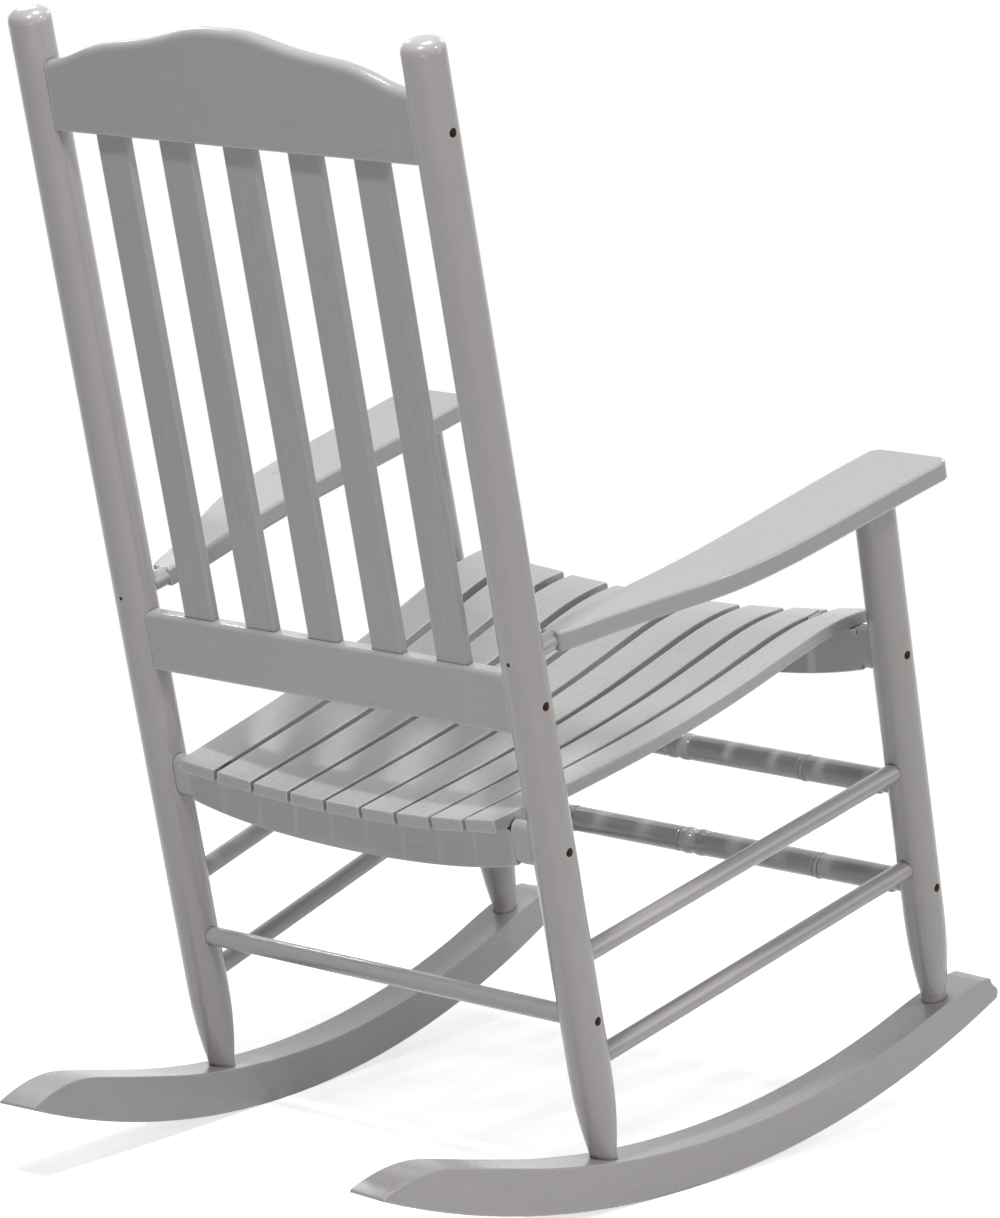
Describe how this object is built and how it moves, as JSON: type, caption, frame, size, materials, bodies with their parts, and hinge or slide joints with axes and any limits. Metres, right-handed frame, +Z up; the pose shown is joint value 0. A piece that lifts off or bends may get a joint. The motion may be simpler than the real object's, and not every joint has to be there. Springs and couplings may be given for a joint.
{
  "type": "rocking chair",
  "caption": "Slatted wooden porch rocking chair with round posts, wide flat arms, a dished slat seat, a shaped crest rail, turned front rungs and splayed curved rockers, painted grey.",
  "frame": {"origin": "centre of the bounding box in plan, on the floor under the rockers", "axes": "+Z up; the chair faces -Y with its back toward +Y; X runs across it, the sitter's left side toward +X"},
  "size_m": [0.6942, 0.872, 1.1201],
  "materials": {
    "posts": "satin grey paint over wood",
    "rockers": "satin grey paint over wood",
    "back": "satin grey paint over wood",
    "arms": "satin grey paint over wood",
    "seat_slats": "satin grey paint over wood",
    "seat_rails": "satin grey paint over wood",
    "rungs": "satin grey paint over wood",
    "fasteners": "dull steel"
  },
  "bodies": {
    "root": {"arm_left": "arms", "arm_pins": "fasteners", "arm_right": "arms", "back_slat_1": "back", "back_slat_2": "back", "back_slat_3": "back", "back_slat_4": "back", "back_slat_5": "back", "crest_rail": "back", "front_post_left": "posts", "front_post_right": "posts", "front_post_screws": "fasteners", "front_rung_lower": "rungs", "front_rung_upper": "rungs", "front_seat_rail": "seat_rails", "lower_back_rail": "back", "rear_post_left": "posts", "rear_post_right": "posts", "rear_post_screws": "fasteners", "rear_rung": "rungs", "rear_seat_rail": "seat_rails", "rocker_left": "rockers", "rocker_right": "rockers", "seat_slat_1": "seat_slats", "seat_slat_2": "seat_slats", "seat_slat_3": "seat_slats", "seat_slat_4": "seat_slats", "seat_slat_5": "seat_slats", "seat_slat_6": "seat_slats", "seat_slat_7": "seat_slats", "seat_slat_8": "seat_slats", "seat_slat_9": "seat_slats", "seat_slat_nails": "fasteners", "side_rung_lower_left": "rungs", "side_rung_lower_right": "rungs", "side_rung_upper_left": "rungs", "side_rung_upper_right": "rungs"}
  },
  "joints": []
}
